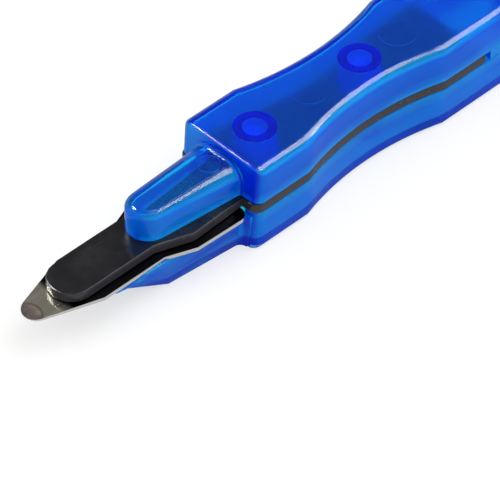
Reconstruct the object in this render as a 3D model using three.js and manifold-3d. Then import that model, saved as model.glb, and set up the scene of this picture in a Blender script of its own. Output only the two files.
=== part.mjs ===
// Push-style staple remover. A flat steel blade slides under the staple. It lies below a
// moulded black tongue, and both are clamped between the two hollow halves of a handle.
// Millimetres. +X points to the blade's tip, +Y across, +Z up. The origin lies midway
// along the whole length, on the surface that the handle's flat underside rests on.

import * as THREE from 'three';
import { mergeVertices } from 'three/addons/utils/BufferGeometryUtils.js';
import Module from 'manifold-3d';

const wasm = await Module();
wasm.setup();

// Handle
const handleLength = 88;
const handleWidth = 20.4;
const handleHeight = 18.8;
const upperShellHeight = 7.9;
const wall = 1.5;
const topEdgeRadius = 2.2;
const bottomEdgeRadius = 1;
const frontEdgeRadius = 0.5;
const frontCornerRadius = 1.9;
const frontLean = 1.2;
const rearCornerRadius = 4;
const smallestRadius = 0.6;

// Waist, measured back from the handle's front
const waistStart = 12.5;
const waistLength = 35.5;
const waistDepth = 2.6;

// Clearances
const seatGap = 0.1;
const pinClearance = 0.15;
const holeClearance = 0.3;
const slotClearance = 0.2;
const cutOverrun = 1;
const hairline = 0.001;

// Upper nose, a finger that presses the tongue down. Its top is a round arch at the root,
// and flattens towards the tip into a face with rounded edges.
const noseReach = 21.9;
const noseHeight = 6.1;
const noseRootWidth = 11.6;
const noseTipRadius = 4.2;
const noseRootArchInset = 3.8;
const noseRootArchRise = 3.3;
const noseTipArchInset = 1.7;
const noseTipArchRise = 1.6;
const noseFilletRadius = 0.6;

// Lower nose, a wedge that carries the blade
const wedgeReach = 31.1;
const wedgeFlatReach = 17.8;
const wedgeRootWidth = 15.2;
const wedgeTipWidth = 12.4;
const wedgeRootBevel = 0.9;
const wedgeTipBevel = 2.1;
const wedgeBevelShare = 0.7;
const wedgeTipHeight = 1.1;
const wedgeFilletRadius = 1.4;

// Black frame and its tongue
const frameThickness = 2.1;
const frameLength = 58.9;
const frameProud = 0.9;
const frameEdge = 0.25;
const tongueReach = 40.5;
const tongueRootWidth = 13.2;
const tongueShoulderWidth = 14.3;
const tongueTipWidth = 9;
const tongueShoulderReach = 13.1;
const tongueNeckReach = 20.5;
const tongueCornerRadius = 4.2;
const stepLength = 1.4;

// Steel blade
const bladeReach = 47.1;
const bladeThickness = 0.8;
const bladeWidth = 17.8;
const bladeShoulderWidth = 17.2;
const bladeNarrowWidth = 12.6;
const bladeShoulderReach = 13.6;
const bladeNeckReach = 19.6;
const bladeTaperReach = 34;
const bladeTipRadius = 2.8;
const bladeTipThickness = 0.4;
const bladeRearReach = 1.2;
const bladeRearRadius = 2;
const tangWidth = 10.4;
const tangLength = 40.8;
const grindRadius = 3.3;
const grindDepth = 0.22;

// Magnet in the tongue, over the blade
const magnetLength = 14;
const magnetWidth = 5.6;
const magnetThickness = 1.2;
const magnetSetback = 4.5;

// Press pins and their sockets, two measured from the handle's front and one from its rear
const frontPinSetback = 8.6;
const middlePinSetback = 35.4;
const rearPinMargin = 10;
const pinDiameter = 4.4;
const pinTipChamfer = 0.4;
const pinTopShare = 0.82;
const socketDiameter = 8.2;

// Marks that the ejector pins left inside the upper shell
const ejectorPlaces = [22.3, 45.3];
const ejectorDiameter = 7.2;
const ejectorDepth = 0.25;
const noseEjectorReach = 3;
const noseEjectorDiameter = 4.4;

// Smoothness
const cornerSteps = 5;
const waistSteps = 20;
const filletSteps = 6;
const noseSideSteps = 6;
const noseTipSteps = 14;
const roundSteps = 36;

// Places worked out from the sizes
const halfWidth = handleWidth / 2;
const frontX = (handleLength - bladeReach) / 2;
const rearX = frontX - handleLength;
const frameTopZ = handleHeight - upperShellHeight;
const frameBottomZ = frameTopZ - frameThickness;
const bladeTopZ = frameBottomZ - seatGap;
const bladeBottomZ = bladeTopZ - bladeThickness;
const wedgeTopZ = bladeBottomZ - seatGap;
const shellCeilingZ = handleHeight - wall;
const pinPlaces = [frontPinSetback, middlePinSetback, handleLength - rearPinMargin];
const ahead = (reach) => frontX + reach;
const behind = (distance) => frontX - distance;

// Materials
const shellPlastic = new THREE.MeshStandardMaterial({
  color: 0x0a63e0, roughness: 0.18, metalness: 0, transparent: true, opacity: 0.72,
});
const blackPlastic = new THREE.MeshStandardMaterial({ color: 0x202126, roughness: 0.3, metalness: 0 });
const springSteel = new THREE.MeshStandardMaterial({ color: 0x8c877c, roughness: 0.25, metalness: 1 });
const magnetFerrite = new THREE.MeshStandardMaterial({ color: 0x2b2a2c, roughness: 0.6, metalness: 0.2 });

// Points on an arc, from one angle to another
function arc(centreX, centreY, radius, from, to, steps) {
  return Array.from({ length: steps + 1 }, (_, i) => {
    const angle = from + ((to - from) * i) / steps;
    return new THREE.Vector2(centreX + radius * Math.cos(angle), centreY + radius * Math.sin(angle));
  });
}

// A whole outline from its half on the +Y side, drawn from rear to front
function mirrored(half) {
  const beside = half.filter((point) => point.y > hairline);
  return [...half, ...beside.map((point) => new THREE.Vector2(point.x, -point.y)).reverse()];
}

// A closed solid through rings of points of equal count. A fan from the middle closes each end.
function loft(rings) {
  const count = rings[0].length;
  const points = rings.flat();
  const index = [];
  for (let start = 0; start < points.length - count; start += count) {
    for (let i = 0; i < count; i += 1) {
      const a = start + i;
      const b = start + ((i + 1) % count);
      index.push(a, b, b + count, a, b + count, a + count);
    }
  }
  [rings[0], rings.at(-1)].forEach((ring, end) => {
    const middle = ring.reduce((sum, point) => sum.add(point), new THREE.Vector3());
    points.push(middle.divideScalar(count));
    const start = end * (rings.length - 1) * count;
    for (let i = 0; i < count; i += 1) {
      const edge = [start + i, start + ((i + 1) % count)];
      index.push(points.length - 1, ...(end ? edge : edge.reverse()));
    }
  });
  const geometry = new THREE.BufferGeometry().setFromPoints(points);
  return solid(geometry.setIndex(index));
}

// A stack of flat outlines, each with its own height
function stack(layers) {
  return loft(layers.map(([outline, z]) => outline.map((point) => new THREE.Vector3(point.x, point.y, z))));
}

// A row of cross-sections along X, each a list of (y, z) points
function row(sections) {
  return loft(sections.map(([x, outline]) => outline.map((point) => new THREE.Vector3(x, point.x, point.y))));
}

// A three.js geometry as a solid that can be joined and cut
function solid(geometry) {
  const bare = geometry.clone();
  bare.deleteAttribute('normal');
  bare.deleteAttribute('uv');
  const merged = mergeVertices(bare);
  const vertProperties = new Float32Array(merged.attributes.position.array);
  const triVerts = new Uint32Array(merged.index.array);
  if (signedVolume(vertProperties, triVerts) < 0) triVerts.reverse();
  return new wasm.Manifold(new wasm.Mesh({ numProp: 3, vertProperties, triVerts }));
}

function signedVolume(points, faces) {
  const corner = (i) => new THREE.Vector3().fromArray(points, faces[i] * 3);
  let volume = 0;
  for (let i = 0; i < faces.length; i += 3) {
    volume += corner(i).dot(corner(i + 1).cross(corner(i + 2))) / 6;
  }
  return volume;
}

function block(x0, x1, y0, y1, z0, z1) {
  const geometry = new THREE.BoxGeometry(x1 - x0, y1 - y0, z1 - z0);
  return solid(geometry.translate((x0 + x1) / 2, (y0 + y1) / 2, (z0 + z1) / 2));
}

// An upright turned shape on the centre line, from (radius, z) points
function turned(x, profile) {
  const points = profile.map(([radius, z]) => new THREE.Vector2(radius, z));
  const geometry = new THREE.LatheGeometry(points, roundSteps);
  return solid(geometry.rotateX(Math.PI / 2).translate(x, 0, 0));
}

function cylinder(x, diameter, z0, z1) {
  const radius = diameter / 2;
  return turned(x, [[0, z0], [radius, z0], [radius, z1], [0, z1]]);
}

// An upright plate from an outline, with a small bevel round its top and bottom edges
function plate(outline, z0, z1, bevel) {
  const geometry = new THREE.ExtrudeGeometry(new THREE.Shape(outline), {
    depth: z1 - z0 - 2 * bevel,
    bevelEnabled: bevel > 0,
    bevelThickness: bevel,
    bevelSize: bevel,
    bevelOffset: -bevel,
    bevelSegments: 2,
  });
  return solid(geometry.translate(0, 0, z0 + bevel));
}

function joined(solids) {
  return solids.reduce((whole, next) => whole.add(next));
}

// The handle's drawn-in waist on the +Y side, from rear to front
function waist(inset) {
  const halfLength = waistLength / 2;
  const radius = (halfLength ** 2 + waistDepth ** 2) / (2 * waistDepth);
  const centreY = halfWidth - waistDepth + radius;
  const arcRadius = radius + inset;
  const reach = Math.acos((centreY - halfWidth + inset) / arcRadius);
  const down = -Math.PI / 2;
  return arc(behind(waistStart + halfLength), centreY, arcRadius, down - reach, down + reach, waistSteps);
}

function frontCorner(x, side) {
  const radius = Math.max(frontCornerRadius - (halfWidth - side), smallestRadius);
  return arc(x - radius, side - radius, radius, Math.PI / 2, 0, cornerSteps);
}

function rearCorner(x, side) {
  const radius = Math.max(rearCornerRadius - (halfWidth - side), smallestRadius);
  return arc(x + radius, side - radius, radius, Math.PI, Math.PI / 2, cornerSteps);
}

// The handle's plan, drawn in from its sides and rear, and by another amount from its front.
// The front wall's top edge is the place that all reaches and distances are measured from.
function handlePlan(inset, frontInset) {
  const side = halfWidth - inset;
  return mirrored([
    ...rearCorner(rearX + inset, side),
    ...waist(inset),
    ...frontCorner(frontX - frontInset, side),
  ]);
}

// How far the front wall stands behind its own top edge at a height. It leans out towards
// its foot, so this is below zero.
function frontSetback(z) {
  return frontLean * (z / handleHeight - 1);
}

// How far a rounded edge draws in at a depth below it
function edgeInset(radius, depth) {
  const rise = Math.max(radius - depth, 0);
  return radius - Math.sqrt(radius ** 2 - rise ** 2);
}

// The handle's form from its flat face to an end height, drawn in by an inset. The flat face
// has rounded edges, and its front edge has a radius of its own.
function handleForm(faceZ, endZ, inset, radius, frontRadius) {
  const up = Math.sign(endZ - faceZ);
  const layers = Array.from({ length: filletSteps + 1 }, (_, i) => {
    const depth = radius * (1 - Math.cos((Math.PI / 2) * (i / filletSteps)));
    const z = faceZ + up * depth;
    const frontInset = inset + edgeInset(frontRadius, depth) + frontSetback(z);
    return [handlePlan(inset + edgeInset(radius, depth), frontInset), z];
  });
  return stack([...layers, [handlePlan(inset, inset + frontSetback(endZ)), endZ]]);
}

// The space inside one half of the handle, with its edges a wall's thickness inside the outer ones
function handleHollow(faceZ, endZ, outerRadius) {
  const radius = Math.max(outerRadius - wall, smallestRadius);
  return handleForm(faceZ, endZ, wall, radius, smallestRadius);
}

// The lean of the upper nose's sides, so that they run smoothly into its round tip
const noseCentreX = ahead(noseReach - noseTipRadius);
const noseRootDistance = Math.hypot(noseRootWidth / 2, noseCentreX - frontX);
const noseRootBearing = Math.atan2(noseCentreX - frontX, noseRootWidth / 2);
const noseLean = Math.acos(noseTipRadius / noseRootDistance) - noseRootBearing;
const noseBaseZ = frameTopZ + seatGap;

// The upper nose's outline on the +Y side from rear to tip, with the way out at each point
function noseOutline(startX) {
  const sweep = Math.PI / 2 - noseLean;
  const tangentX = noseCentreX + noseTipRadius * Math.cos(sweep);
  const tangentY = noseTipRadius * Math.sin(sweep);
  const out = new THREE.Vector2(Math.cos(sweep), Math.sin(sweep));
  const side = Array.from({ length: noseSideSteps }, (_, i) => {
    const x = startX + ((tangentX - startX) * i) / noseSideSteps;
    return { point: new THREE.Vector2(x, tangentY + (tangentX - x) * Math.tan(noseLean)), out };
  });
  const ways = arc(0, 0, 1, sweep, 0, noseTipSteps / 2);
  const tip = ways.map((way) => {
    const point = way.clone().multiplyScalar(noseTipRadius);
    return { point: point.add(new THREE.Vector2(noseCentreX, 0)), out: way };
  });
  return [...side, ...tip];
}

// A size that changes evenly from the nose's root to its tip
function alongNose(x, atRoot, atTip) {
  const share = Math.min(Math.max((x - frontX) / noseReach, 0), 1);
  return atRoot + (atTip - atRoot) * share;
}

// The arch over a point of the nose's outline: how far in, and how high, at an angle
function noseArch(x, angle, inset) {
  const archInset = alongNose(x, noseRootArchInset, noseTipArchInset);
  const archRise = alongNose(x, noseRootArchRise, noseTipArchRise);
  return {
    inwards: inset + (archInset - inset) * (1 - Math.cos(angle)),
    height: noseHeight - archRise + (archRise - inset) * Math.sin(angle),
  };
}

// The upper nose as a closed solid, drawn in by an inset, from its foot to its top
function noseSolid(startX, inset, footZ) {
  const half = noseOutline(startX);
  const ring = (angle) => mirrored(half.map(({ point, out }) => {
    const { inwards } = noseArch(point.x, angle, inset);
    return point.clone().addScaledVector(out, -inwards);
  }));
  const foot = ring(0).map((point) => new THREE.Vector3(point.x, point.y, footZ));
  const arch = Array.from({ length: filletSteps + 1 }, (_, i) => {
    const angle = (Math.PI / 2) * (i / filletSteps);
    const height = (x) => noseBaseZ + noseArch(x, angle, inset).height;
    return ring(angle).map((point) => new THREE.Vector3(point.x, point.y, height(point.x)));
  });
  return loft([foot, ...arch]);
}

// The nose's cross-section, grown outwards by an offset
function noseSection(x, offset) {
  const side = noseOutline(x)[0].point.y;
  const curve = Array.from({ length: filletSteps + 1 }, (_, i) => {
    const angle = (Math.PI / 2) * (i / filletSteps);
    const { inwards, height } = noseArch(x, angle, 0);
    return new THREE.Vector2(side - inwards + offset * Math.cos(angle),
      noseBaseZ + height + offset * Math.sin(angle));
  });
  const half = [new THREE.Vector2(side + offset, noseBaseZ), ...curve];
  const other = half.map((point) => new THREE.Vector2(-point.x, point.y)).reverse();
  return [x, [...half, ...other]];
}

// The small round that blends the nose into the handle's front wall
function noseFillet() {
  const wallX = frontX - frontSetback(noseBaseZ);
  const sections = Array.from({ length: filletSteps + 1 }, (_, i) => {
    const distance = noseFilletRadius * (1 - Math.cos((Math.PI / 2) * (i / filletSteps)));
    return noseSection(wallX + distance, edgeInset(noseFilletRadius, distance));
  });
  return row([noseSection(behind(wall / 2), noseFilletRadius), ...sections]);
}

// A round socket that hangs from the upper shell's top and takes a press pin
function socket(place) {
  const bottomZ = place < frameLength ? frameTopZ + seatGap : frameBottomZ + seatGap;
  return cylinder(behind(place), socketDiameter, bottomZ, shellCeilingZ + wall / 2);
}

function socketBore(place) {
  const bore = pinDiameter + 2 * pinClearance;
  return cylinder(behind(place), bore, frameBottomZ - cutOverrun, shellCeilingZ);
}

function ejectorMark(x, diameter, ceilingZ) {
  return cylinder(x, diameter, ceilingZ - cutOverrun, ceilingZ + ejectorDepth);
}

// The upper half of the handle, hollow, with its nose, sockets and ejector marks. Behind the
// frame its wall reaches down by the frame's thickness, to close on the lower half.
function upperShell() {
  const seamZ = frameBottomZ + seatGap;
  const outside = handleForm(handleHeight, seamZ, 0, topEdgeRadius, frontEdgeRadius)
    .subtract(block(behind(frameLength + stepLength), ahead(cutOverrun), -handleWidth, handleWidth,
      seamZ - cutOverrun, frameTopZ + seatGap))
    .add(noseSolid(behind(wall / 2), 0, noseBaseZ))
    .add(noseFillet());
  const hollow = handleHollow(shellCeilingZ, seamZ - cutOverrun, topEdgeRadius)
    .add(noseSolid(behind(wall + cutOverrun), wall, frameTopZ - cutOverrun));
  const noseCeilingZ = noseBaseZ + noseHeight - wall;
  const marks = ejectorPlaces.map((place) => ejectorMark(behind(place), ejectorDiameter, shellCeilingZ));
  return outside.subtract(hollow)
    .subtract(joined(marks))
    .subtract(ejectorMark(ahead(noseEjectorReach), noseEjectorDiameter, noseCeilingZ))
    .add(joined(pinPlaces.map(socket)))
    .subtract(joined(pinPlaces.map(socketBore)));
}

// A cross-section of the wedge under the blade, drawn in by an inset
function wedgeSection(reach, inset, topZ) {
  const fromWall = Math.max(reach - frontLean, 0);
  const share = fromWall / (wedgeReach - frontLean);
  const climb = Math.max(reach - wedgeFlatReach, 0) / (wedgeReach - wedgeFlatReach);
  const footZ = climb * (wedgeTopZ - wedgeTipHeight);
  const flare = edgeInset(wedgeFilletRadius, fromWall);
  const half = (wedgeRootWidth + (wedgeTipWidth - wedgeRootWidth) * share) / 2 + flare - inset;
  const kneeZ = footZ + wedgeBevelShare * (wedgeTopZ - footZ);
  const bevel = wedgeRootBevel + (wedgeTipBevel - wedgeRootBevel) * share;
  const points = [[half, topZ], [half, Math.min(kneeZ, topZ)], [half - bevel, footZ + inset]];
  const side = points.map(([y, z]) => new THREE.Vector2(y, z));
  const other = side.map((point) => new THREE.Vector2(-point.x, point.y)).reverse();
  return [ahead(reach), [...side, ...other]];
}

function wedge() {
  const flares = Array.from({ length: filletSteps + 1 }, (_, i) =>
    frontLean + wedgeFilletRadius * (1 - Math.cos((Math.PI / 2) * (i / filletSteps))));
  const reaches = [-wall / 2, ...flares, wedgeFlatReach, wedgeReach];
  return row(reaches.map((reach) => wedgeSection(reach, 0, wedgeTopZ)));
}

function wedgeHollow() {
  const reaches = [-wall - cutOverrun, wedgeFlatReach, wedgeReach - 2 * wall];
  return row(reaches.map((reach) => wedgeSection(reach, wall, wedgeTopZ + cutOverrun)));
}

// A post on the lower shell's floor that ends in a press pin
function pinPost(place) {
  const shoulderZ = place < tangLength ? wedgeTopZ : frameBottomZ - seatGap;
  const topZ = frameTopZ + pinTopShare * (shellCeilingZ - frameTopZ);
  const radius = pinDiameter / 2;
  const profile = [
    [0, wall / 2], [socketDiameter / 2, wall / 2], [socketDiameter / 2, shoulderZ],
    [radius, shoulderZ], [radius, topZ - pinTipChamfer], [radius - pinTipChamfer, topZ], [0, topZ],
  ];
  return turned(behind(place), profile);
}

// The slot in the lower shell's front wall that the blade's tang passes through
function tangSlot() {
  const half = tangWidth / 2 + slotClearance;
  return block(behind(wall + cutOverrun), ahead(bladeRearReach), -half, half, wedgeTopZ, handleHeight);
}

// The lower half of the handle, hollow, with the wedge under the blade and its pin posts
function lowerShell() {
  const seamZ = frameBottomZ - seatGap;
  return handleForm(0, seamZ, 0, bottomEdgeRadius, frontEdgeRadius)
    .add(wedge())
    .subtract(handleHollow(wall, seamZ + cutOverrun, bottomEdgeRadius))
    .subtract(wedgeHollow())
    .subtract(tangSlot())
    .add(joined(pinPlaces.map(pinPost)));
}

function pinHoles(places, z0, z1) {
  const diameter = pinDiameter + 2 * holeClearance;
  return joined(places.map((place) => cylinder(behind(place), diameter, z0 - cutOverrun, z1 + cutOverrun)));
}

function magnetPocket() {
  const middle = ahead(tongueReach - magnetSetback - magnetLength / 2);
  const half = magnetLength / 2 + seatGap;
  const side = magnetWidth / 2 + seatGap;
  return block(middle - half, middle + half, -side, side,
    frameBottomZ - cutOverrun, frameBottomZ + magnetThickness + seatGap);
}

// The black frame between the shells, with the tongue that runs out over the blade
function innerFrame() {
  const tipHalf = tongueTipWidth / 2;
  const cornerX = ahead(tongueReach - tongueCornerRadius);
  const outline = mirrored([
    new THREE.Vector2(behind(frameLength), halfWidth),
    ...waist(0),
    ...frontCorner(ahead(frameProud), halfWidth),
    new THREE.Vector2(ahead(frameProud), tongueRootWidth / 2),
    new THREE.Vector2(ahead(tongueShoulderReach), tongueShoulderWidth / 2),
    new THREE.Vector2(ahead(tongueNeckReach), tipHalf),
    ...arc(cornerX, tipHalf - tongueCornerRadius, tongueCornerRadius, Math.PI / 2, 0, cornerSteps),
  ]);
  const places = pinPlaces.filter((place) => place < frameLength);
  return plate(outline, frameBottomZ, frameTopZ, frameEdge)
    .subtract(pinHoles(places, frameBottomZ, frameTopZ))
    .subtract(magnetPocket());
}

// The blade's outline from its tang to its rounded tip
function bladeOutline() {
  const narrow = bladeNarrowWidth / 2;
  const centreX = ahead(bladeReach - bladeTipRadius);
  const taperX = ahead(bladeTaperReach);
  const distance = Math.hypot(narrow, centreX - taperX);
  const lean = Math.acos(bladeTipRadius / distance) - Math.atan2(centreX - taperX, narrow);
  const tangHalf = tangWidth / 2;
  const shoulderX = ahead(bladeRearReach);
  const shoulderHalf = bladeWidth / 2;
  return mirrored([
    ...arc(behind(tangLength) + tangHalf, 0, tangHalf, Math.PI, Math.PI / 2, cornerSteps),
    new THREE.Vector2(shoulderX, tangHalf),
    ...arc(shoulderX + bladeRearRadius, shoulderHalf - bladeRearRadius, bladeRearRadius,
      Math.PI, Math.PI / 2, cornerSteps),
    new THREE.Vector2(ahead(bladeShoulderReach), bladeShoulderWidth / 2),
    new THREE.Vector2(ahead(bladeNeckReach), narrow),
    new THREE.Vector2(taperX, narrow),
    ...arc(centreX, 0, bladeTipRadius, Math.PI / 2 - lean, 0, cornerSteps),
  ]);
}

// The wedge of steel that is ground away below the blade's tip
function undersideGrind() {
  const half = bladeNarrowWidth;
  const thinned = bladeThickness - bladeTipThickness;
  const slope = thinned / (bladeReach - bladeTaperReach);
  const section = (reach) => {
    const z = bladeBottomZ + slope * (reach - bladeTaperReach);
    const low = bladeBottomZ - cutOverrun;
    return [ahead(reach), [[half, low], [half, z], [-half, z], [-half, low]]
      .map(([y, height]) => new THREE.Vector2(y, height))];
  };
  return row([section(bladeTaperReach), section(bladeReach + cutOverrun)]);
}

// The shallow dish that is ground into the top of the blade's tip
function tipGrind() {
  const radius = (grindRadius ** 2 + grindDepth ** 2) / (2 * grindDepth);
  const bowl = Array.from({ length: filletSteps + 1 }, (_, i) => {
    const out = (grindRadius * i) / filletSteps;
    return [out, bladeTopZ - grindDepth + radius - Math.sqrt(radius ** 2 - out ** 2)];
  });
  const rimZ = bladeTopZ + cutOverrun;
  return turned(ahead(bladeReach), [...bowl, [grindRadius, rimZ], [0, rimZ]]);
}

// The spring-steel blade, with a tang that two of the pins pass through
function blade() {
  const places = pinPlaces.filter((place) => place < tangLength);
  return plate(bladeOutline(), bladeBottomZ, bladeTopZ, 0)
    .subtract(pinHoles(places, bladeBottomZ, bladeTopZ))
    .subtract(undersideGrind())
    .subtract(tipGrind());
}

// The bar magnet that holds the pulled staples to the blade
function magnet() {
  const middle = ahead(tongueReach - magnetSetback - magnetLength / 2);
  const half = magnetLength / 2;
  return block(middle - half, middle + half, -magnetWidth / 2, magnetWidth / 2,
    frameBottomZ, frameBottomZ + magnetThickness);
}

function named(name, shape, material) {
  const { vertProperties, triVerts } = shape.getMesh();
  const geometry = new THREE.BufferGeometry();
  geometry.setAttribute('position', new THREE.BufferAttribute(new Float32Array(vertProperties), 3));
  geometry.setIndex(new THREE.BufferAttribute(new Uint32Array(triVerts), 1));
  geometry.computeVertexNormals();
  const mesh = new THREE.Mesh(geometry, material);
  mesh.name = name;
  return mesh;
}

const stapleRemover = new THREE.Group();
stapleRemover.add(
  named('upper_shell', upperShell(), shellPlastic),
  named('lower_shell', lowerShell(), shellPlastic),
  named('inner_frame', innerFrame(), blackPlastic),
  named('blade', blade(), springSteel),
  named('magnet', magnet(), magnetFerrite),
);

export default stapleRemover;
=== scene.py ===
# A push-style staple remover: a translucent blue handle in two halves, a black frame between
# them that runs out as a tongue, and a flat steel blade below the tongue.
import math

import bmesh
import bpy
from mathutils import Matrix, Vector
from mathutils.bvhtree import BVHTree


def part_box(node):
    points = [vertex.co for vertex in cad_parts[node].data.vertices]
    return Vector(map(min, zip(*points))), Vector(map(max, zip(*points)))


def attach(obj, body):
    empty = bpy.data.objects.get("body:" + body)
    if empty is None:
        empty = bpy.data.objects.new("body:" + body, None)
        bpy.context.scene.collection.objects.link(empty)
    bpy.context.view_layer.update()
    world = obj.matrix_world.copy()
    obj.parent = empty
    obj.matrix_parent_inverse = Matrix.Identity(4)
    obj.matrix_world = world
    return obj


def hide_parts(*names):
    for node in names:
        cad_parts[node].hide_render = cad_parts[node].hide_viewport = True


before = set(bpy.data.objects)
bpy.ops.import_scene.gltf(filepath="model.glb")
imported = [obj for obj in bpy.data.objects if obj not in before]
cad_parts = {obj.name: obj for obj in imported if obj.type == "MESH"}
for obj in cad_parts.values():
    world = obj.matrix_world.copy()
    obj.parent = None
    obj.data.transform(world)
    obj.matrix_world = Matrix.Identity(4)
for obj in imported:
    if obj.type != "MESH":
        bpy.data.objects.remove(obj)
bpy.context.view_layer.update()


# Lower shell
# The lower half of the handle, moulded in clear blue plastic in one piece with the wedge under
# the blade. Posts on its floor end in press pins, which hold the whole tool together.
MM = 0.001
WELD = 0.001 * MM
FLAT = math.radians(0.4)
SMOOTH = math.radians(34)
SHADING_WEIGHT = 90


def finished(node, name, material):
    """A node's own solid with its facets welded and its curved faces shaded smooth."""
    shape = bmesh.new()
    shape.from_mesh(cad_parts[node].data)
    bmesh.ops.remove_doubles(shape, verts=shape.verts, dist=WELD)
    bmesh.ops.dissolve_limit(shape, angle_limit=FLAT, verts=shape.verts, edges=shape.edges)
    for face in shape.faces:
        face.smooth = True
    for edge in shape.edges:
        edge.smooth = edge.calc_face_angle(0) < SMOOTH
    mesh = bpy.data.meshes.new(name)
    shape.to_mesh(mesh)
    shape.free()
    mesh.materials.append(material)
    piece = bpy.data.objects.new(name, mesh)
    bpy.context.scene.collection.objects.link(piece)
    shading = piece.modifiers.new("even_shading", "WEIGHTED_NORMAL")
    shading.keep_sharp = True
    shading.weight = SHADING_WEIGHT
    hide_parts(node)
    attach(piece, "root")
    return piece


def place(tree, kind, inputs=None, **settings):
    """A node with its settings, and its inputs as values or as links from other nodes."""
    node = tree.nodes.new("ShaderNode" + kind)
    for name, value in settings.items():
        setattr(node, name, value)
    for name, value in (inputs or {}).items():
        if isinstance(value, bpy.types.NodeSocket):
            tree.links.new(value, node.inputs[name])
        else:
            node.inputs[name].default_value = value
    return node


def worked_out(tree, operation, *values):
    """One step of arithmetic on numbers or links."""
    return place(tree, "Math", dict(enumerate(values)), operation=operation).outputs[0]


def ranged(tree, value, start=0.0, end=1.0, low=0.0, high=1.0):
    """A mask or measure that goes from low to high as the value goes from start to end."""
    return place(tree, "MapRange", {
        "Value": value, "From Min": start, "From Max": end, "To Min": low, "To Max": high,
    }).outputs["Result"]


def mixed(tree, share, first, second):
    """The first colour, with a share of the second."""
    return place(tree, "MixRGB", {"Fac": share, "Color1": first, "Color2": second}).outputs[0]


def noise(tree, where, scale, detail, **more):
    """Cloudy noise from 0 to 1."""
    inputs = {"Vector": where, "Scale": scale, "Detail": detail, **more}
    return place(tree, "TexNoise", inputs).outputs["Fac"]


def stretched(tree, where, scale, turn=(0, 0, 0)):
    """Positions stretched and then turned, so that a noise on them has a grain."""
    inputs = {"Vector": where, "Rotation": turn, "Scale": scale}
    return place(tree, "Mapping", inputs).outputs[0]


def bumped(tree, height, strength, depth):
    """The surface's normal with a fine relief."""
    inputs = {"Height": height, "Strength": strength, "Distance": depth}
    return place(tree, "Bump", inputs).outputs[0]


def facing(tree):
    """How far a face looks forward, and how far up, from -1 to 1."""
    parts = place(tree, "SeparateXYZ", {0: place(tree, "NewGeometry").outputs["Normal"]}).outputs
    return parts["X"], parts["Z"]


def upright_mask(tree, up, flat, steep):
    """1 on upright faces and 0 on level ones, eased between flat and steep."""
    return ranged(tree, worked_out(tree, "ABSOLUTE", up), flat, steep)


def material_with(name):
    """A new material, its node tree and its Principled shader."""
    material = bpy.data.materials.new(name)
    material.use_nodes = True
    return material, material.node_tree, material.node_tree.nodes["Principled BSDF"]


def surface(tree, shader, colour, normal, roughness=None):
    """Links to a shader what changes over the surface."""
    tree.links.new(colour, shader.inputs["Base Color"])
    if roughness is not None:
        tree.links.new(roughness, shader.inputs["Roughness"])
    tree.links.new(normal, shader.inputs["Normal"])


SCRATCH_TURNS = (0.35, -0.6)
SCRATCH_LEAN = (0.3, 0.2)
SCRATCH_STRETCH = (1, 26, 9)
SCRATCH_EDGE = (0.66, 0.74)
SMUDGE_EDGE = (0.4, 0.7)


def handling_marks():
    """A node group of fine scratches and soft smudges from use, as two masks."""
    tree = bpy.data.node_groups.new("handling_marks", "ShaderNodeTree")
    for label, value in (("Scratch Scale", 60.0), ("Smudge Scale", 90.0)):
        socket = tree.interface.new_socket(label, in_out="INPUT", socket_type="NodeSocketFloat")
        socket.default_value = value
    for label in ("Scratches", "Smudges"):
        tree.interface.new_socket(label, in_out="OUTPUT", socket_type="NodeSocketFloat")
    given, made = tree.nodes.new("NodeGroupInput"), tree.nodes.new("NodeGroupOutput")
    where = place(tree, "TexCoord").outputs["Object"]
    layers = []
    for turn in SCRATCH_TURNS:
        lines = stretched(tree, where, SCRATCH_STRETCH, turn=(*SCRATCH_LEAN, turn))
        grain = noise(tree, lines, given.outputs["Scratch Scale"], detail=3.0, Roughness=0.6)
        layers.append(ranged(tree, grain, *SCRATCH_EDGE))
    cloud = noise(tree, where, given.outputs["Smudge Scale"], detail=4.0, Roughness=0.55)
    tree.links.new(worked_out(tree, "MAXIMUM", *layers), made.inputs["Scratches"])
    tree.links.new(ranged(tree, cloud, *SMUDGE_EDGE), made.inputs["Smudges"])
    return tree


MARKS = handling_marks()


def with_marks(tree, scratch_scale, smudge_scale):
    """The scratches and the smudges at a material's own scales."""
    node = tree.nodes.new("ShaderNodeGroup")
    node.node_tree = MARKS
    node.inputs["Scratch Scale"].default_value = scratch_scale
    node.inputs["Smudge Scale"].default_value = smudge_scale
    return node.outputs["Scratches"], node.outputs["Smudges"]


def scratched(tree, scratches, by, base):
    """A roughness or a height that the scratches change."""
    return worked_out(tree, "MULTIPLY_ADD", scratches, by, base)


SEAM_HEIGHT = (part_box("inner_frame")[0].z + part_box("inner_frame")[1].z) / 2
# Painted glow beside the seam and on the nose, and the far half of the front wall paled by painted
# light.
SEAM_FADE, PAINTED_SEAM_GLOW = (3.6 * MM, 1.1 * MM), 0.7
NOSE_START, NOSE_RISE, PAINTED_NOSE_GLOW = (22 * MM, 32 * MM), 3 * MM, 0.4
FAR_HALF = (-1 * MM, -6 * MM)
FRONT_EDGE = (0.5, 0.9)
TOP_WALL = 1.5 * MM
CEILING_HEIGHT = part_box("upper_shell")[1].z - TOP_WALL
CEILING_FADE = (0.4 * MM, 0.3 * MM)
STREAK_EDGE, STREAK_SHARE = (0.52, 0.32), 0.55
CLEAR_TINTS = (0.1, 0.96, 0.99, 1), (0.16, 0.99, 1.0, 1)
DEPTH_TINT, DEPTH_DENSITY = (0.0, 0.965, 1.0, 1), 1000.0
PLASTIC_IOR, PLASTIC_SHEEN = 1.38, 0.12


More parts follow.
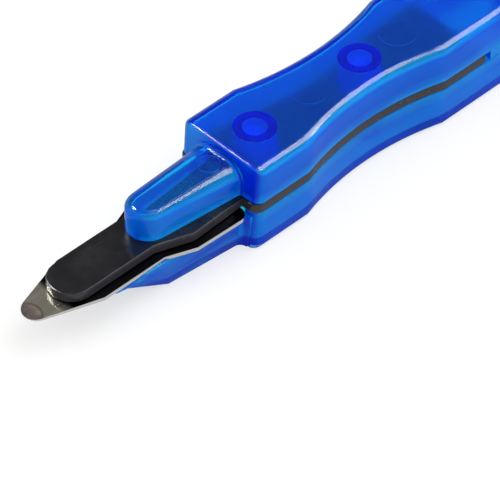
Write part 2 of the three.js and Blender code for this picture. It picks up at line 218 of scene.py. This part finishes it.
def painted_light_by_slope(tree, up, under, side, edge, top):
    """The colour of the scattered light, from the faces that look down to those that look up;
    its change with slope is painted light, paler on the sides and the rounded edges.
    """
    ramp = place(tree, "ValToRGB", {"Fac": ranged(tree, up, start=-1.0)})
    stops = [(0.3, under), (0.44, side), (0.62, side), (0.76, edge), (0.9, edge), (0.98, top)]
    for _ in stops[2:]:
        ramp.color_ramp.elements.new(0.5)
    for stop, (slope, colour) in zip(ramp.color_ramp.elements, stops):
        stop.position, stop.color = slope, colour
    return ramp.outputs["Color"]


def off_level(tree, height, level):
    """The distance above or below a level."""
    return worked_out(tree, "ABSOLUTE", worked_out(tree, "SUBTRACT", height, level))


def blue_plastic(name, top_cloud_and_light, side_cloud_and_light, frosting,
                 under, side, edge, top, front_near, front_far):
    """Glossy clear blue styrene. A share of its light is scattered, and that share and its
    colour follow the way that a face looks, as painted light that brightens upright walls and
    rounded edges. Frosting is a rougher finish on the ceiling."""
    material, tree, clear = material_with(name)
    scratches, smudges = with_marks(tree, scratch_scale=70.0, smudge_scale=110.0)
    where = place(tree, "TexCoord").outputs["Object"]
    spot = place(tree, "SeparateXYZ", {0: where}).outputs
    flow = noise(tree, stretched(tree, where, (0.35, 1, 1)), scale=120.0, detail=2.0)
    forward, up = facing(tree)
    upright = upright_mask(tree, up, flat=0.9, steep=0.4)

    # The scattered light: a colour by slope that is painted light, streaks of flow, a painted glow
    # beside the seam where the halves' edges catch light, a front wall paled across by painted
    # light, and a nose paled by painted glow.
    haze = painted_light_by_slope(tree, up, under, side, edge, top)
    deep = mixed(tree, ranged(tree, flow, *STREAK_EDGE, high=STREAK_SHARE), haze, under)
    painted_seam_glow = ranged(tree, off_level(tree, spot["Z"], SEAM_HEIGHT), *SEAM_FADE, high=PAINTED_SEAM_GLOW)
    deep = mixed(tree, worked_out(tree, "MULTIPLY", painted_seam_glow, upright), deep, edge)
    painted_front_light = mixed(tree, ranged(tree, spot["Y"], *FAR_HALF), front_near, front_far)
    deep = mixed(tree, ranged(tree, forward, *FRONT_EDGE), deep, painted_front_light)
    # Painted glow paling the nose's upper part.
    above = ranged(tree, spot["Z"], SEAM_HEIGHT, SEAM_HEIGHT + NOSE_RISE, high=PAINTED_NOSE_GLOW)
    nose = worked_out(tree, "MULTIPLY", ranged(tree, spot["X"], *NOSE_START), above)
    deep = mixed(tree, nose, deep, edge)

    # The finish: glossy, less so where it is smudged, scratched or frosted, with a faint swell.
    worn = scratched(tree, scratches, by=0.05, base=ranged(tree, smudges, low=0.05, high=0.1))
    from_ceiling = off_level(tree, spot["Z"], CEILING_HEIGHT)
    worn = worked_out(tree, "ADD", worn, ranged(tree, from_ceiling, *CEILING_FADE, high=frosting))
    swell = scratched(tree, scratches, by=-0.05, base=flow)
    relief = bumped(tree, swell, strength=0.035, depth=0.05 * MM)

    milky = place(tree, "BsdfPrincipled")
    surface(tree, clear, mixed(tree, flow, *CLEAR_TINTS), relief, worn)
    surface(tree, milky, deep, relief, worn)
    for shader in (clear, milky):
        shader.inputs["IOR"].default_value = PLASTIC_IOR
        shader.inputs["Specular IOR Level"].default_value = PLASTIC_SHEEN
    clear.inputs["Transmission Weight"].default_value = 1.0
    # The milky share by slope is painted light: upright walls scatter more and look brighter than
    # level faces.
    share = ranged(tree, upright, low=top_cloud_and_light, high=side_cloud_and_light)
    share = worked_out(tree, "MULTIPLY", share, ranged(tree, flow, low=0.9, high=1.1))
    both = place(tree, "MixShader", {0: share, 1: clear.outputs[0], 2: milky.outputs[0]})
    body = place(tree, "VolumeAbsorption", {"Color": DEPTH_TINT, "Density": DEPTH_DENSITY})
    output = tree.nodes["Material Output"]
    tree.links.new(both.outputs[0], output.inputs["Surface"])
    tree.links.new(body.outputs[0], output.inputs["Volume"])
    return material


# AZURE is the colour of the painted glow on rounded edges, beside the seam, on the nose and on the
# front wall's far half.
ROYAL = (0.0, 0.035, 0.95, 1)
AZURE = (0.01, 0.42, 1.0, 1)
SHELL_PLASTIC = blue_plastic(
    "blue_plastic", top_cloud_and_light=0.22, side_cloud_and_light=0.52, frosting=0.0,
    under=ROYAL, side=(0.0, 0.1, 1.0, 1), edge=AZURE, top=ROYAL,
    front_near=ROYAL, front_far=AZURE,
)
# The inside plastic paints the inner walls paler: painted light for the light piped through the
# walls.
INSIDE_PLASTIC = blue_plastic(
    "blue_plastic_inside", top_cloud_and_light=0.04, side_cloud_and_light=0.64, frosting=0.27,
    under=(0.0, 0.08, 0.95, 1), side=(0.0, 0.55, 1.0, 1), edge=(0.0, 0.4, 1.0, 1), top=ROYAL,
    front_near=ROYAL, front_far=ROYAL,
)


def even_haze(tone):
    """One colour of scattered light whichever way a face looks."""
    return dict.fromkeys(("under", "side", "edge", "top", "front_near", "front_far"), tone)


CORE_PLASTIC = blue_plastic(
    "blue_plastic_core", top_cloud_and_light=0.92, side_cloud_and_light=0.92, frosting=0.0,
    **even_haze((0.0, 0.02, 1.0, 1)),
)
# Pale plastic for the low walls round the ejector marks: a painted highlight ring.
PAINTED_MARK_RIM_LIGHT = blue_plastic(
    "blue_plastic_mark_rim_light", top_cloud_and_light=0.85, side_cloud_and_light=0.85, frosting=0.0,
    **even_haze((0.12, 0.45, 1.0, 1)),
)
CORE, MARK, INSIDE = 1, 2, 3
MARK_DEPTH = 0.3 * MM
PIN_AXES = [11.85 * MM, -14.95 * MM, -57.55 * MM]
SOCKET_RADIUS = 4.2 * MM
FLOOR_TOP, CEILING_FOOT, SOCKET_ROOT = 2 * MM, 15 * MM, 17.2 * MM
CLEAR_OF_FACE = 0.01 * MM
LEVEL, AHEAD, SIDEWAYS = 0.7, 0.3, 0.1


def line_inside(piece, outward, reach):
    """Gives a shell's inner surfaces their own plastics: walls paled by painted light and a softer
    ceiling or floor, cloudier sockets, posts and pins, and low walls round the ejector marks
    painted pale as a highlight ring.
    outward is 1 where the shell's flat outside looks up and -1 where it looks down. Walls
    further forward than reach, and front walls, keep the outer plastic."""
    for plastic in (CORE_PLASTIC, PAINTED_MARK_RIM_LIGHT, INSIDE_PLASTIC):
        piece.data.materials.append(plastic)
    corners, faces = piece.data.vertices, piece.data.polygons
    shape = BVHTree.FromPolygons(
        [corner.co for corner in corners], [face.vertices for face in faces])
    for face in faces:
        spots = [corners[index].co for index in face.vertices]
        heights = [spot.z for spot in spots]
        along, height = face.center.x, face.center.z
        start = face.center + CLEAR_OF_FACE * face.normal
        looks_in = shape.ray_cast(start, face.normal)[0] is not None
        at_front = along > reach or (face.normal.x > AHEAD and along > 0)
        inner_wall = looks_in and not at_front and abs(face.normal.z) < LEVEL
        inner_level = outward * face.normal.z < -LEVEL and not FLOOR_TOP <= height <= CEILING_FOOT
        # Inner walls, ceiling and floor take the inside plastic, whose paler walls are painted
        # light.
        if inner_wall or inner_level:
            face.material_index = INSIDE
        # The low walls round the ejector marks take the pale plastic: a painted highlight ring.
        if abs(face.normal.z) < SIDEWAYS and max(heights) - min(heights) < MARK_DEPTH:
            face.material_index = MARK
        on_axis = any(
            all(math.hypot(spot.x - axis, spot.y) < SOCKET_RADIUS for spot in spots)
            for axis in PIN_AXES)
        if on_axis and FLOOR_TOP < height < SOCKET_ROOT:
            face.material_index = CORE


lower_shell = finished("lower_shell", "lower_shell_moulding", SHELL_PLASTIC)
line_inside(lower_shell, outward=-1, reach=20.2 * MM)


# Blade
# A flat strip of rolled spring steel. Its narrow front slides under the staple, its tip is
# ground thin and round, and its tang is clamped between the halves of the handle.
ROLLED = (0.5, 0.47, 0.39, 1), (0.66, 0.62, 0.52, 1)
# The painted shade on the blade, for the black tongue's shadow and reflection in it.
PAINTED_TONGUE_SHADE = (0.012, 0.012, 0.016, 1)
GROUND = (0.33, 0.28, 0.25, 1)
CUT_EDGE = (0.9, 0.88, 0.85, 1)
TONGUE_SHADE_FADE = 1.2 * MM
GROUND_REACH = (3.4 * MM, 3.2 * MM)


def rolled_steel():
    """Dull olive rolled faces and bright cut edges, with a darker ground patch at the tip, and
    painted shade from the tongue's tip rearwards for the black tongue's shadow and reflection."""
    material, tree, shader = material_with("rolled_steel")
    scratches, _ = with_marks(tree, scratch_scale=110.0, smudge_scale=160.0)
    where = place(tree, "TexCoord").outputs["Object"]
    lines = noise(tree, stretched(tree, where, (0.08, 3, 1)), scale=700.0, detail=4.0)
    along = place(tree, "SeparateXYZ", {0: where}).outputs["X"]
    _, up = facing(tree)
    # Painted shade: the blade is painted dark from the tongue's tip rearwards, for the black
    # tongue's shadow and reflection.
    tongue_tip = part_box("inner_frame")[1].x
    painted_tongue_shade = ranged(tree, along, tongue_tip, tongue_tip - TONGUE_SHADE_FADE)
    tone = mixed(tree, painted_tongue_shade, mixed(tree, lines, *ROLLED), PAINTED_TONGUE_SHADE)
    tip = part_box("blade")[1] * Vector((1, 0, 1))
    from_tip = place(tree, "VectorMath", {0: where, 1: tip}, operation="DISTANCE").outputs["Value"]
    tone = mixed(tree, ranged(tree, from_tip, *GROUND_REACH), tone, GROUND)
    tone = mixed(tree, upright_mask(tree, up, flat=0.5, steep=0.3), tone, CUT_EDGE)
    worn = scratched(tree, scratches, by=0.15, base=ranged(tree, lines, low=0.12, high=0.24))
    relief = bumped(tree, lines, strength=0.15, depth=0.03 * MM)
    surface(tree, shader, tone, relief, worn)
    shader.inputs["Metallic"].default_value = 1.0
    return material


finished("blade", "steel_blade", rolled_steel())


# Inner frame
# A black plastic moulding clamped between the halves. Its edge is the dark line round the
# handle, and its front runs out as the tongue that lies over the blade.
BLACKS = (0.0035, 0.0035, 0.006, 1), (0.007, 0.007, 0.01, 1)
PAINTED_SIDE_LIGHT = (0.034, 0.032, 0.04, 1)
BLACK_IOR = 1.5


def black_plastic():
    """Satin-gloss black plastic, faint moulding grain, fine scratches, sides greyer by painted
    light.
    """
    material, tree, shader = material_with("black_plastic")
    scratches, smudges = with_marks(tree, scratch_scale=80.0, smudge_scale=130.0)
    where = place(tree, "TexCoord").outputs["Object"]
    grain = noise(tree, where, scale=2600.0, detail=2.0)
    _, up = facing(tree)
    # Upright faces are painted greyer: painted light on the sides.
    side = upright_mask(tree, up, flat=0.6, steep=0.3)
    tone = mixed(tree, side, mixed(tree, smudges, *BLACKS), PAINTED_SIDE_LIGHT)
    worn = scratched(tree, scratches, by=0.1, base=ranged(tree, smudges, low=0.2, high=0.3))
    etched = scratched(tree, scratches, by=-0.5, base=grain)
    surface(tree, shader, tone, bumped(tree, etched, strength=0.1, depth=0.02 * MM), worn)
    shader.inputs["IOR"].default_value = BLACK_IOR
    return material


finished("inner_frame", "black_frame", black_plastic())


# Magnet
# A bar of pressed ferrite in a pocket under the tongue, where it pulls through the blade and
# keeps the staples from falling off. It is hidden by the blade.
FERRITES = (0.02, 0.02, 0.022, 1), (0.05, 0.05, 0.052, 1)
FERRITE_ROUGHNESS, FERRITE_METAL = 0.6, 0.2


def pressed_ferrite():
    """Matt dark grey ferrite with a coarse speckle."""
    material, tree, shader = material_with("pressed_ferrite")
    where = place(tree, "TexCoord").outputs["Object"]
    speckle = noise(tree, where, scale=3000.0, detail=3.0)
    relief = bumped(tree, speckle, strength=0.3, depth=0.03 * MM)
    surface(tree, shader, mixed(tree, speckle, *FERRITES), relief)
    shader.inputs["Roughness"].default_value = FERRITE_ROUGHNESS
    shader.inputs["Metallic"].default_value = FERRITE_METAL
    return material


finished("magnet", "ferrite_magnet", pressed_ferrite())


# Upper shell
# The upper half of the handle, moulded in the same blue plastic in one piece with the domed
# nose that lies on the tongue. The press pins go into the round sockets that hang from its top.
upper_shell = finished("upper_shell", "upper_shell_moulding", SHELL_PLASTIC)
line_inside(upper_shell, outward=1, reach=60 * MM)


# Studio
# A pale floor and an even bright surround, one broad soft lamp, and three lamps that only
# gloss shows, as highlights along the edges. The camera looks down on the tip from ahead.
FLOOR_HALF, FLOOR_DROP = 3.0, 0.05 * MM
FLOOR_GREY, FLOOR_LIFT = (0.42, 0.42, 0.415, 1), 0.6
MIRRORED_SHARE = 0.18
EVEN_LIGHT = 0.85
HORIZON_BAND, BAND_LIGHT = (0.1, 0.45), (0.9, 0.2)


def rays_seen(tree):
    """A mask of the camera's rays and the refracted ones, and a mask of the mirrored ones."""
    rays = place(tree, "LightPath").outputs
    direct = worked_out(tree, "MAXIMUM", rays["Is Camera Ray"], rays["Is Transmission Ray"])
    return direct, rays["Is Glossy Ray"]


def studio_floor():
    """A floor that looks white to the camera and through the plastic, and keeps the shadow."""
    mesh = bpy.data.meshes.new("studio_floor")
    half = FLOOR_HALF
    corners = [(-half, -half, 0), (half, -half, 0), (half, half, 0), (-half, half, 0)]
    mesh.from_pydata(corners, [], [(0, 1, 2, 3)])
    material, tree, shader = material_with("pale_floor")
    shader.inputs["Base Color"].default_value = FLOOR_GREY
    shader.inputs["Roughness"].default_value = 1.0
    shader.inputs["Specular IOR Level"].default_value = 0.0
    shader.inputs["Emission Color"].default_value = (1, 1, 1, 1)
    direct, mirrored = rays_seen(tree)
    mirrored = worked_out(tree, "MULTIPLY", mirrored, MIRRORED_SHARE)
    shown = worked_out(tree, "MAXIMUM", direct, mirrored)
    lift = worked_out(tree, "MULTIPLY", shown, FLOOR_LIFT)
    tree.links.new(lift, shader.inputs["Emission Strength"])
    mesh.materials.append(material)
    floor = bpy.data.objects.new("studio_floor", mesh)
    floor.location.z = -FLOOR_DROP
    bpy.context.scene.collection.objects.link(floor)


def studio_world():
    """Even light, with a bright band round the horizon that gloss shows. It looks white to the
    camera and through the plastic."""
    world = bpy.data.worlds.new("studio")
    world.use_nodes = True
    tree = world.node_tree
    back = tree.nodes["Background"]
    back.inputs["Color"].default_value = (1, 1, 1, 1)
    way = place(tree, "TexCoord").outputs["Generated"]
    height = place(tree, "SeparateXYZ", {0: way}).outputs["Z"]
    band = ranged(tree, height, *HORIZON_BAND, *BAND_LIGHT)
    direct, mirrored = rays_seen(tree)
    unseen = place(tree, "Mix", {0: mirrored, 2: EVEN_LIGHT, 3: band}, data_type="FLOAT")
    shown = place(tree, "Mix", {0: direct, 2: unseen.outputs[0], 3: 1.0}, data_type="FLOAT")
    tree.links.new(shown.outputs[0], back.inputs["Strength"])
    bpy.context.scene.world = world


def soft_lamp(name, way, distance, size, power, glint_only=False):
    """A rectangular lamp in a direction from the tool, facing it, or one that only gloss shows."""
    lamp = bpy.data.lights.new(name, "AREA")
    lamp.shape = "RECTANGLE"
    lamp.size, lamp.size_y = size
    lamp.energy = power
    thing = bpy.data.objects.new(name, lamp)
    thing.location = Vector(way).normalized() * distance
    thing.rotation_euler = Vector(way).to_track_quat("Z", "Y").to_euler()
    thing.visible_camera = False
    thing.visible_diffuse = thing.visible_transmission = not glint_only
    bpy.context.scene.collection.objects.link(thing)


CAMERA_SPOT = Vector((0.34179, 0.3357, 0.45357))
CAMERA_AIM = Vector((0.02561, 0.01307, 0.00544))
CAMERA_ROLL = math.radians(0.476)
LENS_LENGTH, SENSOR_WIDTH, NEAR_LIMIT = 256.6, 36.0, 0.01


def photo_camera():
    """The camera of the photograph, as fitted to the tool's straight edges and corners."""
    lens = bpy.data.cameras.new("photo_camera")
    lens.lens, lens.sensor_width, lens.clip_start = LENS_LENGTH, SENSOR_WIDTH, NEAR_LIMIT
    camera = bpy.data.objects.new("photo_camera", lens)
    aim = (CAMERA_AIM - CAMERA_SPOT).to_track_quat("-Z", "Y").to_matrix()
    turned = (aim @ Matrix.Rotation(CAMERA_ROLL, 3, "Z")).to_4x4()
    camera.matrix_world = Matrix.Translation(CAMERA_SPOT) @ turned
    bpy.context.scene.collection.objects.link(camera)
    bpy.context.scene.camera = camera


studio_floor()
studio_world()
soft_lamp("key_softbox", way=(-0.3, 0.3, 0.9), distance=0.8, size=(0.7, 0.6), power=2.5)
for name, way, distance, size, power in (
    ("rear_sheet", (-0.6, 0.26, 0.755), 0.7, (0.44, 0.34), 5.6),
    ("rear_strip", (-0.79, 0.38, 0.48), 0.7, (0.2, 0.2), 3.2),
    ("far_strip", (0.15, -0.55, 0.82), 0.6, (0.2, 0.12), 4.0),
):
    soft_lamp(name, way, distance, size, power, glint_only=True)
photo_camera()

bpy.context.scene.view_settings.view_transform = "Standard"
